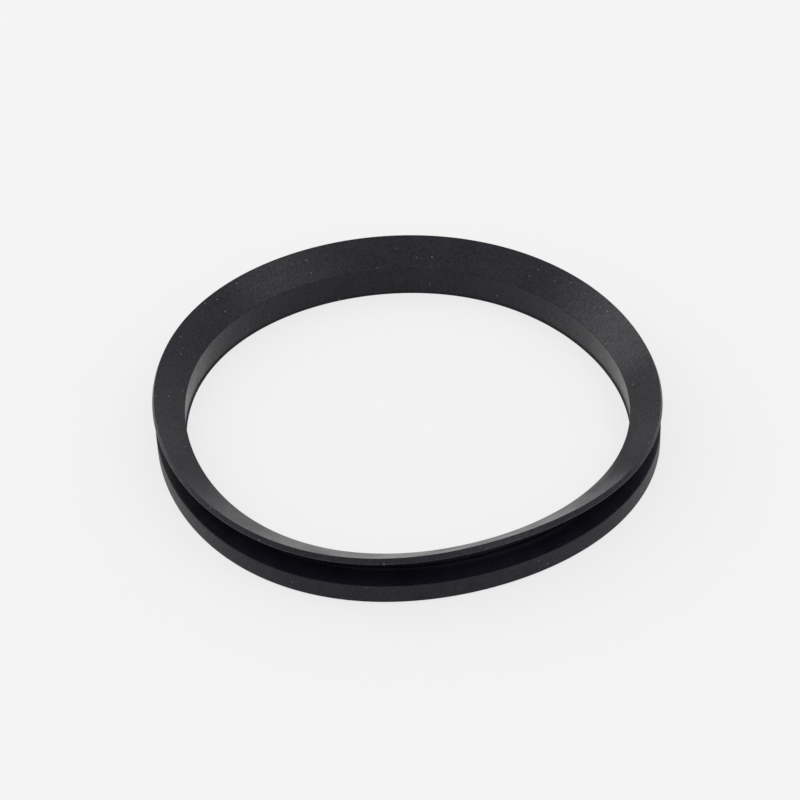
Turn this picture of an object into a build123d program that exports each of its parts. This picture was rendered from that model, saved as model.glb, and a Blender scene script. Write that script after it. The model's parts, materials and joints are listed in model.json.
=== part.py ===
from build123d import *

import os
from math import cos, radians, sin, tan

# A V-ring shaft seal: one moulded rubber ring whose section is a body, a hinge and a lip.
# It lies on its flat back with its axis on +Z, and its lip flares upwards and outwards. The V
# groove between the lip and the body opens outwards all the way round.
# Sizes are in millimetres and degrees, with the ring free and unstretched.

# Driving dimensions
bore_diameter = 99.0
section_height = 7.0  # radial, from the bore to the rim
body_width = 7.9  # axial, from the back to where the lip's cone leaves the bore
free_width = 12.8  # axial, from the back to the top of the sealing edge
rim_width = 4.85  # axial, from the back to the groove
lip_slope = 36.6  # of the lip's cone, from the plane of the back
lip_thickness = 1.36  # across the lip at its end
lip_end_lean = 16.0  # of the lip's end face, outwards from the ring's axis
groove_depth = 5.5  # radial, from the rim to where the groove's two sides would meet
groove_slope = 2.0  # of the groove's side on the body, down from its bottom to the rim

# Radii of the section's corners
sealing_edge_radius = 0.12
lip_end_radius = 0.4
groove_root_radius = 0.3
rim_groove_radius = 0.2
rim_back_radius = 0.3
bore_back_radius = 0.3
bore_lip_radius = 0.25

slope = radians(lip_slope)
lean = radians(lip_end_lean)
bore_radius = bore_diameter / 2
rim_radius = bore_radius + section_height

# Rounding the sealing edge takes a little off its height, so its sharp corner starts that much higher.
sealing_edge_loss = sealing_edge_radius * ((sin(slope) + cos(lean)) / cos(slope - lean) - 1)
sealing_edge_height = free_width + sealing_edge_loss
lip_end_length = lip_thickness / cos(slope - lean)

# The section's sharp corners, as the distance from the axis and the height above the back
bore_back = (bore_radius, 0)
bore_lip = (bore_radius, body_width)
sealing_edge = (bore_radius + (sealing_edge_height - body_width) / tan(slope), sealing_edge_height)
lip_end = (sealing_edge[0] + lip_end_length * sin(lean), sealing_edge[1] - lip_end_length * cos(lean))
groove_root = (rim_radius - groove_depth, rim_width + groove_depth * tan(radians(groove_slope)))
rim_groove = (rim_radius, rim_width)
rim_back = (rim_radius, 0)

rounded_corners = [
    (bore_back, bore_back_radius),
    (bore_lip, bore_lip_radius),
    (sealing_edge, sealing_edge_radius),
    (lip_end, lip_end_radius),
    (groove_root, groove_root_radius),
    (rim_groove, rim_groove_radius),
    (rim_back, rim_back_radius),
]

with BuildPart() as seal_ring:
    with BuildSketch(Plane.XZ):
        with BuildLine():
            FilletPolyline(
                *[corner for corner, radius in rounded_corners],
                radius=[radius for corner, radius in rounded_corners],
                close=True,
            )
        make_face()
    revolve(axis=Axis.Z)

seal_ring.part.label = "seal_ring"

os.makedirs("parts", exist_ok=True)
export_step(seal_ring.part, "parts/seal_ring.step")
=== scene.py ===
"""The looks of the V-ring shaft seal: a soft black rubber ring on a pale studio table."""

import json
from math import ceil, cos, hypot, pi, radians, sin, tan

import bpy
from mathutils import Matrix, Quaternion, Vector


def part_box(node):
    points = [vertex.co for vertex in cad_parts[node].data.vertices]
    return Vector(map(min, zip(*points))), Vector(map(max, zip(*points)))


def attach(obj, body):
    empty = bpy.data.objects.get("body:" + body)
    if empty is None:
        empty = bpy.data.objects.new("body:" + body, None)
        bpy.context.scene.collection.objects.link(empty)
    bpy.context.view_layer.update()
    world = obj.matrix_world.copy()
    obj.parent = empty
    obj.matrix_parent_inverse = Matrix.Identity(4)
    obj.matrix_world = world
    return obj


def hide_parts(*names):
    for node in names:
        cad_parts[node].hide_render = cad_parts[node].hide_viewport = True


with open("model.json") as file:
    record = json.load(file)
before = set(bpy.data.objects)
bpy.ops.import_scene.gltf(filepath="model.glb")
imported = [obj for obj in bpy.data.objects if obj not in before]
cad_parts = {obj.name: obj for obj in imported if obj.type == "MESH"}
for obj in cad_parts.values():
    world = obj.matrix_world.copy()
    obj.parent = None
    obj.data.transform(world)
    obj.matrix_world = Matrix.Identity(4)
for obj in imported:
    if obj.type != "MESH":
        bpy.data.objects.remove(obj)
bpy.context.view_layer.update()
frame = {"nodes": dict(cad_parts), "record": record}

MM = 0.001  # every length here is in metres

# ---------------------------------------------------------------- the ring's section, as in the CAD
ring_low, ring_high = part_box("seal_ring")
mounts = {mount["name"]: mount for mount in frame["record"]["mounts"]}

BORE_RADIUS = mounts["shaft_bore"]["dims"]["r_mm"] * MM
FREE_WIDTH = ring_high.z - ring_low.z
SECTION_HEIGHT = 7.0 * MM  # radial, from the bore to the rim
BODY_WIDTH = 7.9 * MM  # axial, from the back to where the lip's cone leaves the bore
RIM_WIDTH = 4.85 * MM  # axial, from the back to the groove
LIP_SLOPE = radians(36.6)  # of the lip's cone, from the plane of the back
LIP_THICKNESS = 1.36 * MM  # at the lip's end
LIP_END_LEAN = radians(16.0)  # of the lip's end face, outwards from the ring's axis
GROOVE_DEPTH = 5.5 * MM  # radial, from the rim to where the groove's two sides would meet
GROOVE_SLOPE = radians(2.0)  # of the groove's side on the body, down from its bottom to the rim

SEALING_EDGE_RADIUS = 0.12 * MM
LIP_END_RADIUS = 0.4 * MM
GROOVE_ROOT_RADIUS = 0.3 * MM
RIM_GROOVE_RADIUS = 0.2 * MM
RIM_BACK_RADIUS = 0.3 * MM
BORE_BACK_RADIUS = 0.3 * MM
BORE_LIP_RADIUS = 0.25 * MM

# ---------------------------------------------------------------- how the soft ring lies
# A free rubber ring is never quite round. Each wave is (lobes round the ring, size, angle of a crest),
# and angles run from the front, -Y, towards the right, +X.
OUT_OF_ROUND = [
    (2, 0.86 * MM, radians(74)),
    (3, 0.48 * MM, radians(-35)),
    (4, 0.43 * MM, radians(-26)),
]
# The thin lip also rises and falls a little, by turning up or down at its hinge.
LIP_WAVES = [
    (2, radians(1.5), radians(11)),
    (3, radians(0.4), radians(7)),
    (4, radians(1.7), radians(22)),
    (5, radians(0.9), radians(36)),
]
LIP_TURNS_AT = 0.9 * MM  # radial, from the bore
LIP_BENDS_OVER = 2.5 * MM  # radial, from there to where the lip has its whole turn

# ---------------------------------------------------------------- how fine the mesh is
STEPS_ROUND = 720
ARC_STEPS = 6
RUN_STEP = 1.2 * MM
ARC_EDGE_STEP = 0.08 * MM  # a short first and last step keeps a run's shading flat up to its arcs

# ---------------------------------------------------------------- colours and finish
RUBBER_DARK = (0.0068, 0.0057, 0.0098, 1)
RUBBER_PALE = (0.0110, 0.0094, 0.0155, 1)
RUBBER_IOR = 1.34
LIP_ROUGHNESS = (0.25, 0.36)  # in the dark and in the pale smudges
RIM_ROUGHNESS = 0.45
LIP_SHINE = 0.5  # the shader's default, which leaves the reflection as the IOR gives it
WALL_SHINE = 0.36  # on the rim and in the bore
ROOT_PAINTED_SHADE_SHINE = 0.04  # at the bottom of the groove and on the lip's side of it, where the reflection is turned down as painted shade
SHINE_VARIES = 0.35  # with the grain, as a share of the shine
# How far a surface faces straight out from the axis where a part of the ring begins, and where it
# is all that part. The bore faces in by as much.
WALL_FACING = (0.7, 0.9)
# ROOT_FACING sets where the groove's painted shade begins and where it is whole.
ROOT_FACING = (0.1, 0.3)

SMUDGE_NOISE = {"Scale": 110.0, "Detail": 4.0, "Roughness": 0.6}
SMUDGE_RANGE = (0.35, 0.65)
GRAIN_NOISE = {"Scale": 1700.0, "Detail": 2.0, "Roughness": 0.6}
GRAIN_RANGE = (0.3, 0.7)
GRAIN_DEPTH = 0.05 * MM
GRAIN_STRENGTH = 0.25
DUST_SPACING = 2.3 * MM
DUST_RADIUS = 0.17 * MM
DUST_CORE = 0.5  # the share of a speck's radius that has its full colour
DUST_COLOUR = (0.25, 0.24, 0.24, 1)

# ---------------------------------------------------------------- stage, light and camera
TABLE_SIZE = 6.0
TABLE_DROP = 0.05 * MM  # below the ring's back, so that the two faces don't flicker
TABLE_COLOUR = 0.87  # where the lights and the ring's shadow fall on it
PLAIN_COLOUR = 0.913  # most of what is seen of the table, the same all over
SHADOW_SHARE = 0.2  # how much of the table's true light and shadow shows
ROOM_LIGHT = 0.85

LIGHT_DISTANCE = 0.9
# Each softbox is (direction from the ring, width, height, power in watts).
SOFTBOXES = {
    "left_softbox": ((-0.77, 0.38, 0.50), 0.45, 0.45, 1.3),
    "right_softbox": ((0.55, -0.19, 0.82), 0.35, 0.35, 0.55),
    "front_softbox": ((0.58, -0.80, 0.10), 0.25, 0.20, 0.6),
}

CAMERA_AIM = Vector((-0.95 * MM, 2.65 * MM, FREE_WIDTH / 2))
CAMERA_ELEVATION = radians(41.15)
CAMERA_DISTANCE = 630 * MM
CAMERA_LENS = 124.7
CAMERA_SENSOR = 36
CAMERA_ROLL = radians(-2.7)


# ---------------------------------------------------------------- the ring's shape
def wave(waves, angle):
    """The sum of some waves at an angle round the ring."""
    return sum(size * cos(lobes * (angle - crest)) for lobes, size, crest in waves)


def section_corners():
    """The section's sharp corners, from the bore's back end up round the lip and down to the rim's.

    Each is ((radius, height), its rounding, whether the run that follows belongs to the lip).
    """
    # Rounding the sealing edge takes a little off its height, so its sharp corner starts higher.
    edge_loss = SEALING_EDGE_RADIUS * (
        (sin(LIP_SLOPE) + cos(LIP_END_LEAN)) / cos(LIP_SLOPE - LIP_END_LEAN) - 1
    )
    edge_height = FREE_WIDTH + edge_loss
    edge_radius = BORE_RADIUS + (edge_height - BODY_WIDTH) / tan(LIP_SLOPE)
    end_length = LIP_THICKNESS / cos(LIP_SLOPE - LIP_END_LEAN)
    lip_end = (
        edge_radius + end_length * sin(LIP_END_LEAN),
        edge_height - end_length * cos(LIP_END_LEAN),
    )
    rim_radius = BORE_RADIUS + SECTION_HEIGHT
    groove_root = (rim_radius - GROOVE_DEPTH, RIM_WIDTH + GROOVE_DEPTH * tan(GROOVE_SLOPE))
    return [
        ((BORE_RADIUS, 0.0), BORE_BACK_RADIUS, False),
        ((BORE_RADIUS, BODY_WIDTH), BORE_LIP_RADIUS, True),
        ((edge_radius, edge_height), SEALING_EDGE_RADIUS, True),
        (lip_end, LIP_END_RADIUS, True),
        (groove_root, GROOVE_ROOT_RADIUS, False),
        ((rim_radius, RIM_WIDTH), RIM_GROOVE_RADIUS, False),
        ((rim_radius, 0.0), RIM_BACK_RADIUS, False),
    ]


def rounded_corner(before, corner, after, radius):
    """The points of the arc that rounds a corner, from the run before it to the run after it."""
    back = (Vector(before) - Vector(corner)).normalized()
    ahead = (Vector(after) - Vector(corner)).normalized()
    half_angle = back.angle(ahead) / 2
    middle = Vector(corner) + (back + ahead).normalized() * (radius / sin(half_angle))
    start = Vector(corner) + back * (radius / tan(half_angle)) - middle
    turn = pi - 2 * half_angle
    if start.x * ahead.y - start.y * ahead.x < 0:
        turn = -turn
    points = []
    for step in range(ARC_STEPS + 1):
        angle = turn * step / ARC_STEPS
        points.append(
            (
                middle.x + start.x * cos(angle) - start.y * sin(angle),
                middle.y + start.x * sin(angle) + start.y * cos(angle),
            )
        )
    return points


def run_between(start, end):
    """Points inside a straight run, with a short step at each end."""
    across, up = end[0] - start[0], end[1] - start[1]
    length = hypot(across, up)
    middle_length = length - 2 * ARC_EDGE_STEP
    steps = max(1, ceil(middle_length / RUN_STEP))
    points = []
    for step in range(steps + 1):
        share = (ARC_EDGE_STEP + middle_length * step / steps) / length
        points.append((start[0] + across * share, start[1] + up * share))
    return points


def section_loop():
    """The whole section as (radius, height, whether the point belongs to the lip)."""
    corners = section_corners()
    arcs = []
    for index, (corner, rounding, _) in enumerate(corners):
        before = corners[index - 1][0]
        after = corners[(index + 1) % len(corners)][0]
        arcs.append(rounded_corner(before, corner, after, rounding))
    loop = []
    for index, arc in enumerate(arcs):
        next_arc = arcs[(index + 1) % len(arcs)]
        lip_follows = corners[index][2]
        lip_here = lip_follows or corners[index - 1][2]
        loop += [(*point, lip_here) for point in arc]
        loop += [(*point, lip_follows) for point in run_between(arc[-1], next_arc[0])]
    return loop


def smooth_step(value):
    """Goes smoothly from 0 to 1 as the value does, and stays there."""
    clamped = min(1.0, max(0.0, value))
    return clamped * clamped * (3 - 2 * clamped)


def ring_mesh():
    """Sweeps the section round the axis, out of round and with the lip's waves."""
    hinge_radius = BORE_RADIUS + LIP_TURNS_AT
    hinge_height = BODY_WIDTH
    loop = section_loop()
    vertices = []
    for step in range(STEPS_ROUND):
        angle = 2 * pi * step / STEPS_ROUND
        push = wave(OUT_OF_ROUND, angle)
        lip_turn = wave(LIP_WAVES, angle)
        for radius, height, on_lip in loop:
            if on_lip:
                out, up = radius - hinge_radius, height - hinge_height
                turn = lip_turn * smooth_step(out / LIP_BENDS_OVER)
                radius = hinge_radius + out * cos(turn) - up * sin(turn)
                height = hinge_height + out * sin(turn) + up * cos(turn)
            vertices.append(((radius + push) * sin(angle), -(radius + push) * cos(angle), height))
    count = len(loop)
    faces = []
    for step in range(STEPS_ROUND):
        here = step * count
        there = (step + 1) % STEPS_ROUND * count
        for index in range(count):
            beside = (index + 1) % count
            faces.append((here + index, there + index, there + beside, here + beside))
    mesh = bpy.data.meshes.new("seal_ring_rubber")
    mesh.from_pydata(vertices, [], faces)
    mesh.shade_smooth()
    mesh.validate()
    return mesh


# ---------------------------------------------------------------- materials
class Nodes:
    """A short way to add and link shader nodes. An input is given by name, or by number as _0."""

    def __init__(self, tree):
        self.tree = tree
        tree.nodes.clear()

    def add(self, kind, settings=None, **inputs):
        node = self.tree.nodes.new(kind)
        for name, value in (settings or {}).items():
            setattr(node, name, value)
        for name, value in inputs.items():
            key = int(name[1:]) if name[0] == "_" else name.replace("_", " ")
            socket = node.inputs[key]
            if isinstance(value, bpy.types.NodeSocket):
                self.tree.links.new(value, socket)
            else:
                socket.default_value = value
        return node

    def maths(self, operation, *values):
        inputs = {f"_{index}": value for index, value in enumerate(values)}
        return self.add("ShaderNodeMath", {"operation": operation}, **inputs).outputs[0]

    def ramp(self, value, source, result):
        """Carries a value over from one range to another, and stops at its ends."""
        return self.add(
            "ShaderNodeMapRange", _0=value, _1=source[0], _2=source[1], _3=result[0], _4=result[1]
        ).outputs[0]

    def mix(self, share, first, second):
        return self.add("ShaderNodeMix", {"data_type": "FLOAT"}, _0=share, _2=first, _3=second).outputs[0]

    def mix_colours(self, share, first, second):
        return self.add("ShaderNodeMix", {"data_type": "RGBA"}, _0=share, _6=first, _7=second).outputs[2]


def new_nodes(owner):
    """Turns on the nodes of a material or a world, and starts them empty."""
    owner.use_nodes = True
    return Nodes(owner.node_tree)


def black_rubber():
    """Satin black rubber: rougher on the rim, with painted shade in the groove as a turned-down
    reflection, smudged, grained and a little dusty.
    """
    material = bpy.data.materials.new("black_rubber")
    nodes = new_nodes(material)
    texture = nodes.add("ShaderNodeTexCoord")
    place = texture.outputs["Object"]
    smudges = nodes.add("ShaderNodeTexNoise", Vector=place, **SMUDGE_NOISE).outputs["Fac"]
    smudges = nodes.ramp(smudges, SMUDGE_RANGE, (0.0, 1.0))
    grain = nodes.add("ShaderNodeTexNoise", Vector=place, **GRAIN_NOISE).outputs["Fac"]

    # How far the surface faces straight out from the axis: 1 on the rim, -1 in the bore.
    outwards = nodes.add("ShaderNodeVectorMath", {"operation": "MULTIPLY"}, _0=place, _1=(1, 1, 0))
    outwards = nodes.add("ShaderNodeVectorMath", {"operation": "NORMALIZE"}, _0=outwards.outputs[0])
    facing = nodes.add(
        "ShaderNodeVectorMath",
        {"operation": "DOT_PRODUCT"},
        _0=outwards.outputs[0],
        _1=texture.outputs["Normal"],
    ).outputs["Value"]

    # How much a point belongs to each level and part of the ring, from 0 to 1.
    height = nodes.add("ShaderNodeSeparateXYZ", Vector=place).outputs["Z"]
    below_lip = nodes.maths("LESS_THAN", height, BODY_WIDTH)
    above_rim = nodes.maths("GREATER_THAN", height, RIM_WIDTH)
    groove_level = nodes.maths("MULTIPLY", below_lip, above_rim)
    rim = nodes.ramp(facing, WALL_FACING, (0.0, below_lip))
    rim_or_bore = nodes.ramp(nodes.maths("ABSOLUTE", facing), WALL_FACING, (0.0, below_lip))
    # Painted shade: the groove's bottom and the lip's side of it below the body's top, where the
    # reflection is turned down.
    groove_root = nodes.ramp(facing, ROOT_FACING, (0.0, groove_level))

    rough = nodes.mix(rim, nodes.ramp(smudges, (0.0, 1.0), LIP_ROUGHNESS), RIM_ROUGHNESS)
    # The shine is turned down in the groove as painted shade.
    shine = nodes.mix(groove_root, nodes.mix(rim_or_bore, LIP_SHINE, WALL_SHINE), ROOT_PAINTED_SHADE_SHINE)
    speckle = nodes.ramp(grain, GRAIN_RANGE, (1 - SHINE_VARIES, 1 + SHINE_VARIES))
    shine = nodes.maths("MULTIPLY", shine, speckle)
    relief = nodes.add("ShaderNodeBump", Strength=GRAIN_STRENGTH, Distance=GRAIN_DEPTH, Height=grain)

    # A speck of dust shows where one of the scattered points lies close to the surface. The groove
    # keeps clean, and so does the bore at its level.
    scatter = nodes.add("ShaderNodeTexVoronoi", Vector=place, Scale=1 / DUST_SPACING)
    speck_radius = DUST_RADIUS / DUST_SPACING
    dust = nodes.ramp(
        scatter.outputs["Distance"], (speck_radius, DUST_CORE * speck_radius), (0.0, 1.0)
    )
    dust = nodes.maths("MULTIPLY", dust, nodes.maths("SUBTRACT", 1.0, groove_level))
    colour = nodes.mix_colours(smudges, RUBBER_DARK, RUBBER_PALE)
    colour = nodes.mix_colours(dust, colour, DUST_COLOUR)

    shader = nodes.add(
        "ShaderNodeBsdfPrincipled",
        Base_Color=colour,
        Roughness=rough,
        Normal=relief.outputs[0],
        IOR=RUBBER_IOR,
        Specular_IOR_Level=shine,
    )
    nodes.add("ShaderNodeOutputMaterial", Surface=shader.outputs[0])
    return material


def table_material():
    """A pale table. The camera sees mostly its plain colour, with part of the ring's soft shadow."""
    material = bpy.data.materials.new("pale_table")
    nodes = new_nodes(material)
    lit = nodes.add("ShaderNodeBsdfDiffuse", Color=(*[TABLE_COLOUR] * 3, 1))
    plain = nodes.add("ShaderNodeEmission", Color=(*[PLAIN_COLOUR] * 3, 1), Strength=1.0)
    path = nodes.add("ShaderNodeLightPath").outputs
    seen = nodes.maths("MAXIMUM", path["Is Camera Ray"], path["Is Glossy Ray"])
    seen = nodes.maths("MAXIMUM", seen, path["Is Transmission Ray"])
    share = nodes.maths("MULTIPLY", seen, 1 - SHADOW_SHARE)
    mixed = nodes.add("ShaderNodeMixShader", _0=share, _1=lit.outputs[0], _2=plain.outputs[0])
    nodes.add("ShaderNodeOutputMaterial", Surface=mixed.outputs[0])
    return material


# ---------------------------------------------------------------- light
def room_light():
    """An even white room all round."""
    world = bpy.data.worlds.new("studio")
    bpy.context.scene.world = world
    nodes = new_nodes(world)
    glow = nodes.add("ShaderNodeBackground", Color=(1, 1, 1, 1), Strength=ROOM_LIGHT)
    nodes.add("ShaderNodeOutputWorld", Surface=glow.outputs[0])


def softbox(name, direction, width, height, power):
    """A rectangular light that faces the ring."""
    light = bpy.data.lights.new(name, "AREA")
    light.shape = "RECTANGLE"
    light.size = width
    light.size_y = height
    light.energy = power
    lamp = bpy.data.objects.new(name, light)
    bpy.context.scene.collection.objects.link(lamp)
    lamp.location = Vector(direction).normalized() * LIGHT_DISTANCE
    lamp.rotation_euler = Vector(direction).to_track_quat("Z", "Y").to_euler()


# ---------------------------------------------------------------- the scene
rubber = black_rubber()
ring = bpy.data.objects.new("rubber_ring", ring_mesh())
bpy.context.scene.collection.objects.link(ring)
ring.data.materials.append(rubber)
frame["nodes"]["seal_ring"].data.materials.clear()
frame["nodes"]["seal_ring"].data.materials.append(rubber)
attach(ring, "root")
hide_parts("seal_ring")

bpy.ops.mesh.primitive_plane_add(size=TABLE_SIZE, location=(0, 0, -TABLE_DROP))
table = bpy.context.object
table.name = "table"
table.data.materials.append(table_material())

room_light()
for name, (direction, width, height, power) in SOFTBOXES.items():
    softbox(name, direction, width, height, power)

camera_data = bpy.data.cameras.new("camera")
camera_data.lens = CAMERA_LENS
camera_data.sensor_width = CAMERA_SENSOR
camera = bpy.data.objects.new("camera", camera_data)
bpy.context.scene.collection.objects.link(camera)
towards_camera = Vector((0, -cos(CAMERA_ELEVATION), sin(CAMERA_ELEVATION)))
camera.location = CAMERA_AIM + towards_camera * CAMERA_DISTANCE
camera.rotation_mode = "QUATERNION"
camera.rotation_quaternion = towards_camera.to_track_quat("Z", "Y") @ Quaternion((0, 0, 1), CAMERA_ROLL)
bpy.context.scene.camera = camera

bpy.context.scene.view_settings.view_transform = "Standard"
